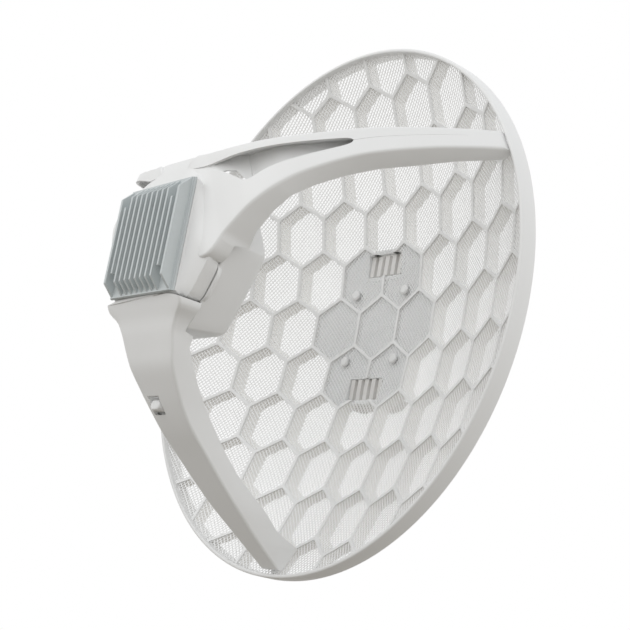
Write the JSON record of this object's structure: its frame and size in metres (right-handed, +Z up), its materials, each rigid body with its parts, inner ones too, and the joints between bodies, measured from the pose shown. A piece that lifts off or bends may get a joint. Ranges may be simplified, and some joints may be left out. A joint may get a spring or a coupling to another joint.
{
  "type": "parabolic grid antenna",
  "caption": "Mesh reflector dish with tripod arms and a finned radio head at its focus; its back pad clamps to a mast.",
  "frame": {"origin": "middle of the flat strip at the bottom of the mast pad's V groove, on the back of the dish", "axes": "+Y out of the pad towards the mast, -Y along the beam, +Z up with one arm pointing down, +X to the right seen from the front"},
  "size_m": [0.391, 0.2272, 0.391],
  "materials": {
    "white_plastic": "satin moulded",
    "saddle_plastic": "satin moulded",
    "mesh_metal": "powder coated",
    "sink_metal": "cast, fine blasted",
    "screw_steel": "plain",
    "board_laminate": "solder mask",
    "shield_steel": "tin plated",
    "patch_copper": "plated",
    "pad_silicone": "soft",
    "black_plastic": "moulded"
  },
  "bodies": {
    "antenna": {"dish_frame": "white_plastic", "arm_right": "white_plastic", "arm_left": "white_plastic", "arm_lower": "white_plastic", "feed_hub": "white_plastic", "front_cover": "white_plastic", "saddle_stud_upper_left": "white_plastic", "saddle_stud_upper_right": "white_plastic", "saddle_stud_lower_left": "white_plastic", "saddle_stud_lower_right": "white_plastic", "mast_saddle": "saddle_plastic", "reflector_mesh": "mesh_metal", "heat_sink": "sink_metal", "sink_screw_upper_left": "screw_steel", "sink_screw_upper_right": "screw_steel", "sink_screw_lower_left": "screw_steel", "sink_screw_lower_right": "screw_steel", "main_board": "board_laminate", "feed_board": "board_laminate", "shield_can": "shield_steel", "ethernet_jack": "shield_steel", "feed_patch": "patch_copper", "thermal_pad": "pad_silicone", "reset_switch": "black_plastic", "board_carrier": "black_plastic"},
    "cable_door": {"cable_door": "white_plastic"},
    "door_latch": {"door_latch": "white_plastic"},
    "reset_button": {"reset_button": "black_plastic"}
  },
  "joints": [
    {"name": "door_swing", "type": "hinge", "parent": "antenna", "child": "cable_door", "pos_m": [0, -0.0907, -0.158], "axis": [-1, 0, 0], "range_deg": [0, 25]},
    {"name": "latch_press", "type": "slide", "parent": "cable_door", "child": "door_latch", "axis": [0, 1, 0], "range_m": [0, 0.0025], "stiffness_N_per_m": 200, "springref_m": -0.003},
    {"name": "reset_press", "type": "slide", "parent": "antenna", "child": "reset_button", "axis": [0, 0, 1], "range_m": [0, 0.0006], "stiffness_N_per_m": 300, "springref_m": -0.002}
  ]
}
